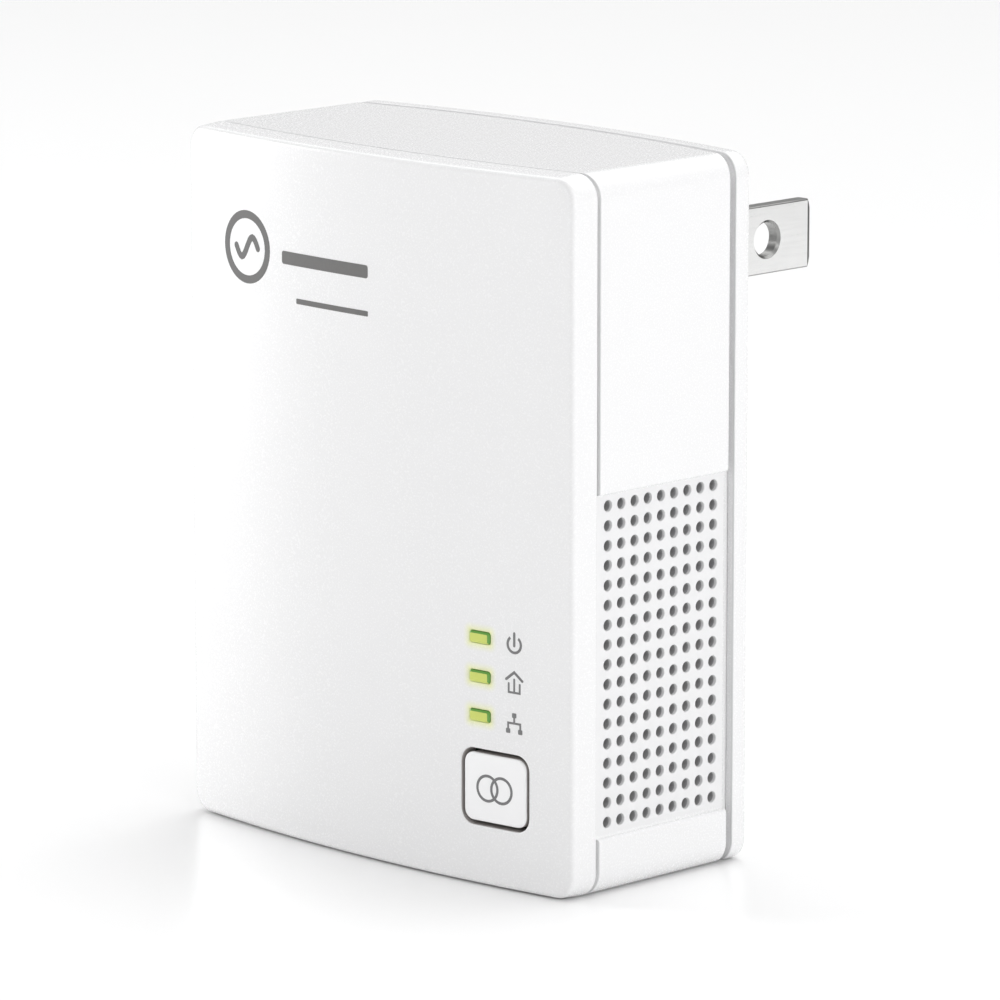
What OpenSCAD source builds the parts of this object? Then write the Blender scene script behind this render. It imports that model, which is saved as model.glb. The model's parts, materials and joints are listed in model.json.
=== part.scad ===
// Powerline adapter: a plug-in mains unit with an Ethernet jack underneath.
// Row frame: origin at the centre of the plug face, between the two blades.
// +X is to the right seen from the front, +Y points back into the wall, +Z is up.

/* [Body] */
// Width of the casing
body_w = 50; // [48:1:56]
// Height of the casing
body_h = 65; // [63:1:72]
// Radius of the casing's four long corners
corner_r = 2.2; // [2.1:0.1:4]
// How far the front face bulges forward at its middle
front_crown = 2; // [1.5:0.1:2.4]
// How far the back face bulges backward at its middle
rear_crown = 2.5; // [1.5:0.1:2.6]
// Depth of the front cover along the casing's sides
front_lip = 2.75; // [2.5:0.05:3.2]
// Depth of the housing along the casing's sides, between its two seams
housing_d = 16.6; // [16:0.05:17]
// Depth of the rear cover along the casing's sides
rear_lip = 2.25; // [2:0.05:2.6]
// Wall thickness of the three casing parts
wall = 1.8; // [1.8:0.1:2]

/* [Seams] */
// Width of the fine gap between front cover and housing
front_gap = 0.35; // [0.2:0.05:0.5]
// Width of the shadow groove between housing and rear cover
rear_gap = 0.6; // [0.5:0.05:1]
// Thickness of the covers' skirts outside the housing's tongue, which is each gap's depth
skirt_t = 0.9; // [0.8:0.05:1]
// How far the housing's tongue reaches into each cover
tongue_len = 1.2; // [0.8:0.1:1.4]

/* [Side vents] */
// Holes along the depth
vent_columns = 9; // [5:1:9]
// Holes along the height
vent_rows = 17; // [5:1:17]
// Spacing of the holes along the depth
vent_pitch_y = 1.69; // [1.5:0.01:1.7]
// Spacing of the holes along the height
vent_pitch_z = 1.795; // [1.6:0.005:1.8]
// Diameter of a vent hole
vent_d = 1.05; // [0.8:0.05:1.2]
// Depth of the recessed field around the holes
recess_t = 0.6; // [0.3:0.05:0.7]
// Top edge of the recessed field, from the casing's mid height
recess_top = 3.9; // [3:0.1:5]
// Bottom edge of the recessed field, from the casing's mid height
recess_bottom = -27.2; // [-28:0.1:-26.5]

/* [Front controls] */
// Width of one indicator window
led_w = 2.3; // [2:0.1:3]
// Height of one indicator window
led_h = 1.05; // [1:0.05:1.5]
// Distance of the windows from the casing's mid line
led_x = 14.45; // [13:0.05:16]
// Height of the top window, from the casing's mid height
led_z = -9.7; // [-10:0.1:-8]
// Spacing of the windows
led_pitch = 3.57; // [3.4:0.01:3.7]
// Width of the pair button
button_w = 7; // [6.5:0.1:7.5]
// Height of the pair button
button_h = 6.25; // [6:0.05:7]
// Distance of the button from the casing's mid line
button_x = 16.1; // [15.5:0.05:16.5]
// Height of the button's middle, from the casing's mid height
button_z = -23.4; // [-23.8:0.1:-23.2]
// Gap around the button
button_gap = 0.4; // [0.2:0.05:0.4]

/* [Plug] */
// Height of the blades' middle above the casing's mid height
plug_up = 20.2; // [18:0.1:21]
// How far the plug base stands behind the back face's highest point
plug_standoff = 6.8; // [4:0.1:7]
// Spacing of the blades, centre to centre
blade_pitch = 12.7; // [12.6:0.1:12.8]
// Width of a blade
blade_w = 6.5; // [6.2:0.05:6.6]
// Thickness of a blade
blade_t = 1.5; // [1.4:0.05:1.6]
// Length of a blade behind the plug face
blade_len = 18.2; // [15.9:0.1:18.2]
// Diameter of a blade's locating hole
blade_hole_d = 3.2; // [3:0.1:3.3]
// Distance of the locating hole from the plug face
blade_hole_y = 11.9; // [11.5:0.1:12.2]

/* [Ethernet jack] */
// Outer width of the jack's shield
jack_w = 16; // [15.6:0.1:16.2]
// Outer height of the jack's shield, off the main board
jack_h = 12.4; // [12:0.1:12.6]
// Length of the jack, up from the casing's underside
jack_len = 21; // [18:0.5:21]
// Width of the plug cavity
port_w = 11.8; // [11.7:0.05:12]
// Height of the plug cavity
port_h = 6.8; // [6.6:0.05:7]

/* [Boards] */
// Thickness of both boards
board_t = 1.2; // [1:0.1:1.2]
// Clear distance between the two boards
board_space = 11.1; // [11:0.1:11.3]
// Size of a board corner boss
boss_d = 5; // [4.5:0.1:5]

/* [Hidden] */

$fn = 64;
crown_fn = 256;
eps = 0.01;
clear = 0.05;             // running room between fixed parts
far = 100;                // longer than anything here

body_z = -plug_up;        // casing's mid height in the row frame
rear_edge_y = -(plug_standoff + rear_crown);
rear_seam_y = rear_edge_y - rear_lip;
housing_rear_y = rear_seam_y - rear_gap;
housing_front_y = housing_rear_y - housing_d;
front_seam_y = housing_front_y - front_gap;
front_edge_y = front_seam_y - front_lip;
cover_t = 1.6;            // thickness of the two crowned faces

// Radius of an arc that rises by `rise` over the casing's width.
function arc_radius(rise) = (body_w * body_w / 4 + rise * rise) / (2 * rise);
front_r = arc_radius(front_crown);
rear_r = arc_radius(rear_crown);
// Depth of a crowned line at x, where edge is its depth at the casing's sides.
function front_y(edge, x) = edge - front_crown + front_r - sqrt(front_r * front_r - x * x);
function rear_y(edge, x) = edge + rear_crown - rear_r + sqrt(rear_r * rear_r - x * x);

// Board planes.
main_front_y = -25.1;
main_back_y = main_front_y + board_t;
power_front_y = main_back_y + board_space;
power_back_y = power_front_y + board_t;
board_w = body_w - 2 * wall - 1;
board_h = body_h - 2 * wall - 1;
boss_x = body_w / 2 - 4.4;
boss_z = body_h / 2 - 4.2;
screw_r = 1;
screw_head_r = 1.8;
screw_head_t = 1.3;
screw_len = 5;
bottom_z = -body_h / 2;   // underside, from the casing's mid height

white = "white";
board_green = "darkgreen";
black = [0.08, 0.08, 0.09];
metal = "silver";

// ---------- helpers ----------

module rounded_rect(w, h, r) {
    square([w - 2 * r, h], center = true);
    square([w, h - 2 * r], center = true);
    for (x = [-1, 1], z = [-1, 1])
        translate([x * (w / 2 - r), z * (h / 2 - r)]) circle(r);
}

// Extrudes a 2D shape, drawn in X and Z, from depth y0 to depth y1.
module along_y(y0, y1) {
    translate([0, y1, 0]) rotate([90, 0, 0]) linear_extrude(y1 - y0) children();
}

// Extrudes a 2D shape, drawn in Y and Z, from x0 to x1.
module along_x(x0, x1) {
    translate([x0, 0, 0]) rotate([90, 0, 90]) linear_extrude(x1 - x0) children();
}

// Puts children that are placed from the casing's mid height into the row frame.
module at_body() {
    translate([0, 0, body_z]) children();
}

// The casing's rounded outline, moved inward by inset, through the whole depth.
module casing_prism(inset = 0) {
    along_y(-60, 20) rounded_rect(body_w - 2 * inset, body_h - 2 * inset, corner_r - inset);
}

// Extrudes a plan view, drawn in X and Y, through the casing's height.
module full_height() {
    translate([0, 0, -body_h / 2 - 1]) linear_extrude(body_h + 2) children();
}

// Plan of everything behind a front crown line.
module behind_front(edge) {
    translate([0, edge - front_crown + front_r]) circle(front_r, $fn = crown_fn);
}

// Plan of everything before a rear crown line.
module before_rear(edge) {
    translate([0, edge + rear_crown - rear_r]) circle(rear_r, $fn = crown_fn);
}

// A box given by its lowest and highest corners.
module span(low, high) {
    translate(low) cube(high - low);
}

// A block that stands on a board face: centre x and z, footprint w by h, from y0 to y1.
module block(x, z, w, h, y0, y1) {
    span([x - w / 2, y0, z - h / 2], [x + w / 2, y1, z + h / 2]);
}

// A round part along Y.
module rod_y(x, z, r, y0, y1) {
    translate([x, y1, z]) rotate([90, 0, 0]) cylinder(h = y1 - y0, r = r);
}

module at_bosses() {
    for (x = [-1, 1], z = [-1, 1]) translate([x * boss_x, 0, z * boss_z]) children();
}

// ---------- casing ----------

module button_opening_2d(grow) {
    translate([button_x, button_z]) rounded_rect(button_w + 2 * grow, button_h + 2 * grow, 1.1 + grow);
}

module led_windows(grow, y0, y1) {
    for (i = [0:2])
        block(led_x, led_z - i * led_pitch, led_w + 2 * grow, led_h + 2 * grow, y0, y1);
}

hook_w = 7;
hook_in = wall + clear;
hook_t = 1;
hook_tip_y = main_front_y - 0.3;
hook_catch_y = hook_tip_y - 1.3;

// One springy hook on the front cover, by the top wall; side flips it to the bottom wall.
module snap_hook(x, side) {
    z_out = body_h / 2 - hook_in;
    root_y = front_y(front_edge_y + cover_t, abs(x) - hook_w / 2) - 0.3;
    mirror([0, 0, side < 0 ? 1 : 0]) {
        span([x - hook_w / 2, root_y, z_out - hook_t], [x + hook_w / 2, hook_tip_y, z_out]);
        along_x(x - hook_w / 2, x + hook_w / 2)
            polygon([[hook_tip_y, z_out - eps], [hook_catch_y, z_out - eps], [hook_catch_y, z_out + 0.4]]);
    }
}

module front_cover() {
    color(white) at_body() {
        difference() {
            intersection() {
                casing_prism();
                full_height() difference() {
                    behind_front(front_edge_y);
                    behind_front(front_seam_y);
                }
            }
            intersection() {
                casing_prism(wall);
                full_height() behind_front(front_edge_y + cover_t);
            }
            intersection() {
                casing_prism(skirt_t);
                full_height() behind_front(front_seam_y - tongue_len - 0.1);
            }
            along_y(-60, 0) button_opening_2d(button_gap);
            led_windows(clear, -60, 0);
        }
        for (x = [-11, 11], side = [-1, 1]) snap_hook(x, side);
    }
}

vent_mid_y = (housing_front_y + housing_rear_y) / 2 + 0.1;
vent_mid_z = (recess_top + recess_bottom) / 2 + 0.05;

module vent_holes() {
    for (i = [0:vent_columns - 1], j = [0:vent_rows - 1])
        translate([
            0,
            vent_mid_y + (i - (vent_columns - 1) / 2) * vent_pitch_y,
            vent_mid_z + (j - (vent_rows - 1) / 2) * vent_pitch_z
        ]) rotate([0, 90, 0]) cylinder(h = body_w + 4, r = vent_d / 2, center = true);
}

jack_front_y = main_back_y;
jack_back_y = jack_front_y + jack_h;
jack_room = 0.2;

module board_boss() {
    difference() {
        union() {
            rod_y(0, 0, boss_d / 2, main_back_y, power_front_y);
            span([0, main_back_y + 1.5, -0.7], [body_w / 2 - boss_x - 1, power_front_y - 1.5, 0.7]);
        }
        rod_y(0, 0, screw_r, main_back_y - eps, main_back_y + screw_len);
        rod_y(0, 0, screw_r, power_front_y - screw_len, power_front_y + eps);
    }
}

module housing() {
    color(white) at_body() {
        difference() {
            union() {
                intersection() {
                    casing_prism();
                    full_height() intersection() {
                        behind_front(housing_front_y);
                        before_rear(housing_rear_y);
                    }
                }
                intersection() {
                    casing_prism(skirt_t + clear);
                    full_height() intersection() {
                        behind_front(front_seam_y - tongue_len);
                        before_rear(rear_seam_y + tongue_len);
                    }
                }
            }
            casing_prism(wall);
            for (s = [-1, 1])
                span(
                    [s > 0 ? body_w / 2 - recess_t : -body_w / 2 - 1, -60, recess_bottom],
                    [s > 0 ? body_w / 2 + 1 : -body_w / 2 + recess_t, 0, recess_top]
                );
            vent_holes();
            span(
                [-jack_w / 2 - jack_room, jack_front_y - jack_room, bottom_z - 1],
                [jack_w / 2 + jack_room, jack_back_y + jack_room, bottom_z + wall + 1]
            );
            for (x = [-11, 11], s = [-1, 1])
                span(
                    [x - hook_w / 2 - 0.3, hook_catch_y - 0.1, s > 0 ? body_h / 2 - wall - eps : bottom_z + wall - 0.6],
                    [x + hook_w / 2 + 0.3, hook_tip_y + 0.4, s > 0 ? body_h / 2 - wall + 0.6 : bottom_z + wall + eps]
                );
        }
        for (x = [-1, 1], z = [-1, 1])
            translate([x * boss_x, 0, z * boss_z]) mirror([x < 0 ? 1 : 0, 0, 0]) board_boss();
    }
}

base_w = 25;
base_h = 18;
base_r = 4;
base_flange = 1.6;
flange_back_y = rear_y(rear_edge_y - cover_t, base_w / 2 + base_flange) - clear;
flange_t = 1.3;
label_w = 34;
label_h = 26;
label_z = -16.4;          // middle of the label, from the casing's mid height
label_t = 0.12;
label_recess = 0.2;

module rear_cover() {
    color(white) at_body() difference() {
        intersection() {
            casing_prism();
            full_height() difference() {
                before_rear(rear_edge_y);
                before_rear(rear_seam_y);
            }
        }
        intersection() {
            casing_prism(wall);
            full_height() before_rear(rear_edge_y - cover_t);
        }
        intersection() {
            casing_prism(skirt_t);
            full_height() before_rear(rear_seam_y + tongue_len + 0.1);
        }
        along_y(-20, 5) translate([0, plug_up])
            rounded_rect(base_w + 2 * clear, base_h + 2 * clear, base_r + clear);
        difference() {
            along_y(-20, 5) translate([0, label_z]) rounded_rect(label_w + 0.6, label_h + 0.6, 1.5);
            full_height() before_rear(rear_edge_y - label_recess);
        }
    }
}

module rating_label() {
    color("whitesmoke") at_body() intersection() {
        along_y(-20, 5) translate([0, label_z]) rounded_rect(label_w, label_h, 1.2);
        full_height() difference() {
            before_rear(rear_edge_y - label_recess + label_t);
            before_rear(rear_edge_y - label_recess);
        }
    }
}

// ---------- plug ----------

blade_tail_y = power_front_y - 1;

// Outline of a blade from the side, in Y and Z, with its clipped tip corners.
module blade_side(y0, clip) {
    polygon([
        [y0, -blade_w / 2], [blade_len - clip, -blade_w / 2], [blade_len, -blade_w / 2 + clip],
        [blade_len, blade_w / 2 - clip], [blade_len - clip, blade_w / 2], [y0, blade_w / 2]
    ]);
}

// Outline of a blade from above, in X and Y, with its thinned tip.
module blade_top(y0) {
    tip = 0.45;
    polygon([
        [-blade_t / 2, y0], [blade_t / 2, y0], [blade_t / 2, blade_len - 0.9],
        [blade_t / 2 - tip, blade_len], [-blade_t / 2 + tip, blade_len], [-blade_t / 2, blade_len - 0.9]
    ]);
}

module blade(x) {
    translate([x, 0, 0]) difference() {
        intersection() {
            along_x(-blade_t / 2, blade_t / 2) blade_side(blade_tail_y, 0.9);
            translate([0, 0, -blade_w]) linear_extrude(2 * blade_w) blade_top(blade_tail_y);
        }
        translate([0, blade_hole_y, 0]) rotate([0, 90, 0])
            cylinder(h = 2 * blade_t, r = blade_hole_d / 2, center = true);
    }
}

module live_blade() {
    color(metal) blade(blade_pitch / 2);
}

module neutral_blade() {
    color(metal) blade(-blade_pitch / 2);
}

base_post_x = 12;
base_post_z = 6.5;
base_post_r = 1.4;

module plug_base() {
    color(white) for (x = [-1, 1], z = [-1, 1])
        rod_y(x * base_post_x, z * base_post_z, base_post_r, power_back_y, flange_back_y - flange_t + eps);
    color(white) difference() {
        union() {
            along_y(flange_back_y - flange_t, 0) rounded_rect(base_w, base_h, base_r);
            along_y(flange_back_y - flange_t, flange_back_y)
                rounded_rect(base_w + 2 * base_flange, base_h + 2 * base_flange, base_r);
        }
        for (s = [-1, 1])
            span(
                [s * blade_pitch / 2 - blade_t / 2, -far, -blade_w / 2],
                [s * blade_pitch / 2 + blade_t / 2, 1, blade_w / 2]
            );
    }
}

// ---------- pair button and its switch ----------

button_flange_y = front_y(front_edge_y + cover_t, button_x + button_w / 2 + 0.8) + clear;
button_flange_t = 0.8;
button_back_y = button_flange_y + button_flange_t;
switch_size = 6;
switch_body_d = 3.5;
switch_front_y = main_front_y - switch_body_d;
plate_t = 0.3;
plunger_r = 1.7;
dome_r = 2.1;
switch_well_r = 2.3;
dome_y = main_front_y - 1.1;

module pair_button() {
    color(white) at_body() {
        intersection() {
            along_y(-60, button_flange_y + eps) button_opening_2d(0);
            full_height() behind_front(front_edge_y);
        }
        along_y(button_flange_y, button_back_y) button_opening_2d(0.8);
        rod_y(button_x, button_z, 1.2, button_back_y - eps, switch_front_y - 0.8);
    }
}

module switch_plunger() {
    color(black) at_body() {
        rod_y(button_x, button_z, plunger_r, switch_front_y - 0.8, dome_y - 0.6);
        rod_y(button_x, button_z, plunger_r + 0.4, switch_front_y + plate_t + 0.35, dome_y - 0.6);
    }
}

module switch_body() {
    color(black) at_body() {
        difference() {
            block(button_x, button_z, switch_size, switch_size, switch_front_y + plate_t, main_front_y);
            rod_y(button_x, button_z, switch_well_r, switch_front_y, main_front_y - 0.7);
        }
    }
}

module switch_plate() {
    color(metal) at_body() {
        difference() {
            block(button_x, button_z, switch_size, switch_size, switch_front_y, switch_front_y + plate_t);
            rod_y(button_x, button_z, plunger_r + 0.1, switch_front_y - 1, main_front_y);
        }
        for (sx = [-1, 1], sz = [-1, 1])
            block(
                button_x + sx * (switch_size / 2 + 0.15), button_z + sz * 2.25, 0.3, 0.7,
                switch_front_y, main_front_y
            );
    }
}

module switch_dome() {
    color(metal) at_body()
        rod_y(button_x, button_z, dome_r, dome_y - 0.1, dome_y + 0.1);
}

// ---------- indicators ----------

guide_rear_y = main_front_y - 1.1;
guide_web_y = -29.6;
guide_front_y = front_y(front_edge_y, led_x) + 0.05;

module light_guide() {
    color([0.6, 0.9, 0.2]) at_body() {
        led_windows(0, guide_front_y, guide_rear_y);
        block(led_x, led_z - led_pitch, led_w + 2.4, 2 * led_pitch + led_h + 1.6, guide_web_y, guide_web_y + 0.8);
    }
}

module light_shield() {
    color(black) at_body() difference() {
        block(
            led_x, led_z - led_pitch, led_w + 2.4, 2 * led_pitch + led_h + 1.6,
            guide_web_y + 0.8, main_front_y
        );
        led_windows(clear, -60, main_front_y + 1);
    }
}

module indicator_leds() {
    color("lightyellow") at_body() for (i = [0:2])
        block(led_x, led_z - i * led_pitch, 1.6, 0.8, main_front_y - 0.7, main_front_y);
}

// ---------- boards ----------

module boss_screw(y_seat, dir) {
    head = y_seat - dir * screw_head_t;
    rod_y(0, 0, screw_head_r, min(y_seat, head), max(y_seat, head));
    tip = y_seat + dir * (board_t + screw_len - 0.3);
    rod_y(0, 0, screw_r, min(y_seat - dir * eps, tip), max(y_seat - dir * eps, tip));
}

module main_board() {
    color(board_green) at_body() difference() {
        along_y(main_front_y, main_back_y) rounded_rect(board_w, board_h, 1);
        at_bosses() rod_y(0, 0, screw_r + 0.1, main_front_y - 1, main_back_y + 1);
    }
}

module main_board_screws() {
    color(metal) at_body() at_bosses() boss_screw(main_front_y, 1);
}

notch_w = jack_w + 1.2;
notch_top = bottom_z + jack_len + 1.4;
sheet_t = 0.3;

module power_board() {
    color(board_green) at_body() difference() {
        along_y(power_front_y, power_back_y) rounded_rect(board_w, board_h, 1);
        at_bosses() rod_y(0, 0, screw_r + 0.1, power_front_y - 1, power_back_y + 1);
        span([-notch_w / 2, power_front_y - 1, -far], [notch_w / 2, power_back_y + 1, notch_top]);
        for (s = [-1, 1])
            block(
                s * blade_pitch / 2, plug_up, blade_t + 2 * clear, blade_w + 2 * clear,
                power_front_y - 1, power_back_y + 1
            );
    }
}

module power_board_screws() {
    color(metal) at_body() at_bosses() boss_screw(power_back_y, -1);
}

// A sheet glued to the main board's back, before the mains parts.
module insulating_sheet() {
    color("ivory") at_body() span([-17.5, main_back_y, -9.5], [17.5, main_back_y + sheet_t, 29.5]);
}

// ---------- parts on the main board ----------

// A flat chip on the main board's front.
module front_chip(x, z, w, h, t) {
    block(x, z, w, h, main_front_y - t, main_front_y);
}

cpu_x = -8;
cpu_z = 8;
cpu_size = 14;
cpu_t = 0.9;
pad_t = 0.5;

module processor() {
    color(black) at_body() front_chip(cpu_x, cpu_z, cpu_size, cpu_size, cpu_t);
}

module thermal_pad() {
    color("lightsteelblue") at_body()
        block(cpu_x, cpu_z, 12, 12, main_front_y - cpu_t - pad_t, main_front_y - cpu_t);
}

sink_size = 24;
sink_base_t = 1.2;
fin_count = 9;
fin_t = 0.8;
fin_h = 2.1;

module heat_sink() {
    base_back = main_front_y - cpu_t - pad_t;
    base_front = base_back - sink_base_t;
    color(metal) at_body() {
        block(cpu_x, cpu_z, sink_size, sink_size, base_front, base_back);
        for (i = [0:fin_count - 1])
            block(
                cpu_x + (i / (fin_count - 1) - 0.5) * (sink_size - fin_t), cpu_z,
                fin_t, sink_size, base_front - fin_h, base_front + eps
            );
    }
}

module memory_chip() {
    color(black) at_body() front_chip(12, 10, 8, 12, 1.1);
}

module flash_chip() {
    color(black) at_body() front_chip(13, 22, 5, 4, 1.5);
}

module ethernet_chip() {
    color(black) at_body() front_chip(-15, -14, 7, 7, 0.9);
}

module line_driver_chip() {
    color(black) at_body() front_chip(-10, 25, 6, 5, 0.9);
}

module crystal() {
    color(metal) at_body() along_y(main_front_y - 1.2, main_front_y)
        translate([-5, -14]) rounded_rect(5, 3.2, 0.6);
}

module lan_transformer() {
    color(black) at_body() front_chip(-4, -23, 13, 8, 3.8);
}

// Two rows of ceramic chip capacitors beside the processor and a row by the transformer.
module chip_capacitors() {
    color("burlywood") at_body() {
        for (i = [0:6]) front_chip(cpu_x - 9 + i * 3, -7, 0.8, 1.6, 0.8);
        for (i = [0:4]) front_chip(6.5, 20 - i * 2.2, 1.6, 0.8, 0.8);
        for (i = [0:3]) front_chip(-14.5, -19.5 - i * 2.2, 1.6, 0.8, 0.8);
    }
}

// ---------- Ethernet jack ----------

shield_t = 0.3;
port_mid_y = jack_back_y - shield_t - 1.6 - port_h / 2;
jack_face_z = bottom_z + 0.15;
port_depth = 14;
latch_w = 6.4;
latch_step_w = 3.4;
contact_pitch = 1.02;

module jack_insulator() {
    in_w = jack_w / 2 - shield_t;
    color(black) at_body() difference() {
        span(
            [-in_w, jack_front_y, jack_face_z],
            [in_w, jack_back_y - shield_t, jack_face_z + jack_len - shield_t]
        );
        span(
            [-port_w / 2, port_mid_y - port_h / 2, jack_face_z - 1],
            [port_w / 2, port_mid_y + port_h / 2, jack_face_z + port_depth]
        );
        span(
            [-latch_w / 2, port_mid_y - port_h / 2 - 1.4, jack_face_z - 1],
            [latch_w / 2, port_mid_y - port_h / 2 + eps, jack_face_z + port_depth]
        );
        span(
            [-latch_step_w / 2, port_mid_y - port_h / 2 - 2.3, jack_face_z - 1],
            [latch_step_w / 2, port_mid_y - port_h / 2 - 1.4 + eps, jack_face_z + port_depth]
        );
        for (i = [0:7])
            span(
                [(i - 3.5) * contact_pitch - 0.26, port_mid_y + port_h / 2 - eps, jack_face_z + 1.5],
                [(i - 3.5) * contact_pitch + 0.26, port_mid_y + port_h / 2 + 0.6, jack_face_z + port_depth + 2]
            );
    }
}

module jack_shield() {
    color(metal) at_body() difference() {
        span(
            [-jack_w / 2, jack_front_y, jack_face_z],
            [jack_w / 2, jack_back_y, jack_face_z + jack_len]
        );
        span(
            [-jack_w / 2 + shield_t, jack_front_y - 1, jack_face_z - 1],
            [jack_w / 2 - shield_t, jack_back_y - shield_t, jack_face_z + jack_len - shield_t]
        );
    }
}

// One sprung contact wire: lies in its slot, then slants into the cavity.
module contact_wire() {
    y_back = port_mid_y + port_h / 2;
    wire = 0.42;
    root = jack_face_z + port_depth + 1.8;
    along_x(-wire / 2, wire / 2) polygon([
        [y_back + 0.5, root], [y_back + 0.1, root],
        [y_back + 0.1, jack_face_z + 6], [y_back - 2.1, jack_face_z + 11.6],
        [y_back - 2.45, jack_face_z + 11.4], [y_back + 0.1, jack_face_z + 5],
        [y_back + 0.5, jack_face_z + 5]
    ]);
}

module jack_contacts() {
    color("gold") at_body() for (i = [0:7])
        translate([(i - 3.5) * contact_pitch, 0, 0]) contact_wire();
}

// ---------- board-to-board header ----------

header_x = 15.5;
header_z = -21.5;
header_pitch = 2.54;
header_half = 0.32;
header_base_t = 2.4;
socket_front_y = main_back_y + header_base_t + 0.2;

module at_header_pins() {
    for (i = [-2:2], j = [-1, 1])
        translate([header_x + i * header_pitch, 0, header_z + j * header_pitch / 2]) children();
}

module header_pins() {
    color("gold") at_body() at_header_pins()
        block(0, 0, 2 * header_half, 2 * header_half, main_back_y, socket_front_y + 5.5);
}

module header_base() {
    color(black) at_body() difference() {
        block(header_x, header_z, 12.7, 5, main_back_y, main_back_y + header_base_t);
        at_header_pins()
            block(0, 0, 2 * header_half, 2 * header_half, main_back_y - 1, main_back_y + header_base_t + 1);
    }
}

module header_socket() {
    color(black) at_body() difference() {
        block(header_x, header_z, 12.7, 5, socket_front_y, power_front_y);
        at_header_pins()
            block(
                0, 0, 2 * header_half + 0.1, 2 * header_half + 0.1,
                socket_front_y - 1, socket_front_y + 6
            );
    }
}

// ---------- parts on the power board ----------

// A block on the power board's front.
module power_block(x, z, w, h, t) {
    block(x, z, w, h, power_front_y - t, power_front_y);
}

module fuse() {
    color("saddlebrown") at_body() rod_y(16.5, 19.5, 4.2, power_front_y - 8, power_front_y);
}

// A coated disc part standing on the board, seen edge-on from above.
module disc_part(x, z, r, t, lift) {
    translate([x, power_front_y - r - lift, z]) cylinder(h = t, r = r, center = true);
    for (s = [-1, 1]) rod_y(x + s * r * 0.5, z, 0.3, power_front_y - lift - r, power_front_y);
}

module varistor() {
    color("royalblue") at_body() disc_part(-16.5, 20, 4.5, 3.6, 1);
}

module y_capacitor() {
    color("steelblue") at_body() disc_part(0, -8.4, 3.4, 2.4, 1);
}

module x_capacitor() {
    color("gold") at_body() power_block(14.5, 9.5, 13, 6, 10);
}

choke_x = -14.5;
choke_z = 9;
choke_mid_r = 4.5;
choke_core_half = 1.5;
choke_wire = 0.7;
choke_y = power_front_y - 3.6;
turns = 14;

module choke_core() {
    color("darkseagreen") at_body() translate([choke_x, choke_y, choke_z]) rotate([90, 0, 0])
        rotate_extrude() translate([choke_mid_r, 0]) square(2 * choke_core_half, center = true);
}

// One square turn of wire round the core.
module choke_turn() {
    inner = choke_core_half + clear;
    outer = inner + choke_wire;
    difference() {
        cube([2 * outer, choke_wire, 2 * outer], center = true);
        cube([2 * inner, choke_wire + 1, 2 * inner], center = true);
    }
}

module choke_winding() {
    color("chocolate") at_body() {
        translate([choke_x, choke_y, choke_z]) rotate([90, 0, 0])
            for (i = [0:turns - 1])
                rotate([0, 0, (i + 0.5) * 360 / turns]) translate([choke_mid_r, 0, 0]) choke_turn();
        for (i = [0:turns - 1]) {
            a = (i + 0.5) * 360 / turns;
            rod_y(
                choke_x + choke_mid_r * cos(a), choke_z + choke_mid_r * sin(a), choke_wire / 2,
                choke_y + choke_core_half + clear + choke_wire / 2, power_front_y
            );
        }
    }
}

module bridge_rectifier() {
    color(black) at_body() power_block(0, 12.5, 6.4, 5, 2.6);
}

// A can capacitor lying on the board, along Z.
module lying_can(x, z0, len, r) {
    translate([x, power_front_y - r - 0.2, z0]) cylinder(h = len, r = r);
    for (s = [-1, 1])
        block(x + s * r * 0.45, z0 + len + 0.6, 0.5, 1.2, power_front_y - r - 0.2, power_front_y);
}

module bulk_capacitors() {
    color("midnightblue") at_body() {
        lying_can(-17, -13, 13, 4);
        lying_can(-13.5, -30, 13, 4);
    }
}

core_w = 13;
core_h = 12.4;
leg = 3;
trans_x = 0.5;
trans_z = 0;
trans_back_y = power_front_y - 0.8;
trans_d = 9.4;
trans_y = trans_back_y - trans_d / 2;

// Two E cores that meet: a frame with a middle leg, in X and Z.
module transformer_core() {
    window = (core_w - 3 * leg) / 2;
    color("dimgray") at_body() translate([trans_x, trans_y, trans_z]) difference() {
        cube([core_w, 6, core_h], center = true);
        for (s = [-1, 1])
            translate([s * (leg + window) / 2, 0, 0]) cube([window, 7, core_h - 2 * leg], center = true);
    }
}

bobbin_t = 0.5;

module transformer_bobbin() {
    tube_x = leg + 2 * clear;
    tube_y = 6 + 2 * clear;
    reach = 2 * (core_w - 3 * leg) / 2 + leg - 0.2;
    ends_h = core_h - 2 * leg - 2 * clear;
    color("dimgray") at_body() translate([trans_x, trans_y, trans_z]) difference() {
        union() {
            cube([tube_x + 2 * bobbin_t, tube_y + 2 * bobbin_t, ends_h], center = true);
            for (s = [-1, 1])
                translate([0, 0, s * (ends_h - bobbin_t) / 2]) cube([reach, trans_d, bobbin_t], center = true);
        }
        cube([tube_x, tube_y, core_h], center = true);
    }
    color("dimgray") at_body() for (sx = [-1, 1], sz = [-1, 1])
        block(
            trans_x + sx * (reach / 2 - 0.6), trans_z + sz * (ends_h - bobbin_t) / 2,
            0.5, bobbin_t, trans_back_y - eps, power_front_y
        );
}

module transformer_winding() {
    inner_x = leg + 2 * clear + 2 * bobbin_t;
    inner_y = 6 + 2 * clear + 2 * bobbin_t;
    reach = 2 * (core_w - 3 * leg) / 2 + leg - 0.4;
    wind_h = core_h - 2 * leg - 2 * clear - 2 * bobbin_t - 2 * clear;
    color("khaki") at_body() translate([trans_x, trans_y, trans_z]) difference() {
        cube([reach, trans_d - 0.3, wind_h], center = true);
        cube([inner_x, inner_y, core_h], center = true);
    }
}

module switching_chip() {
    color(black) at_body() power_block(-9.6, -3, 4, 5, 1.6);
}

module optocoupler() {
    color(black) at_body() power_block(10.8, -2, 4.4, 6.4, 3.6);
}

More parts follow.
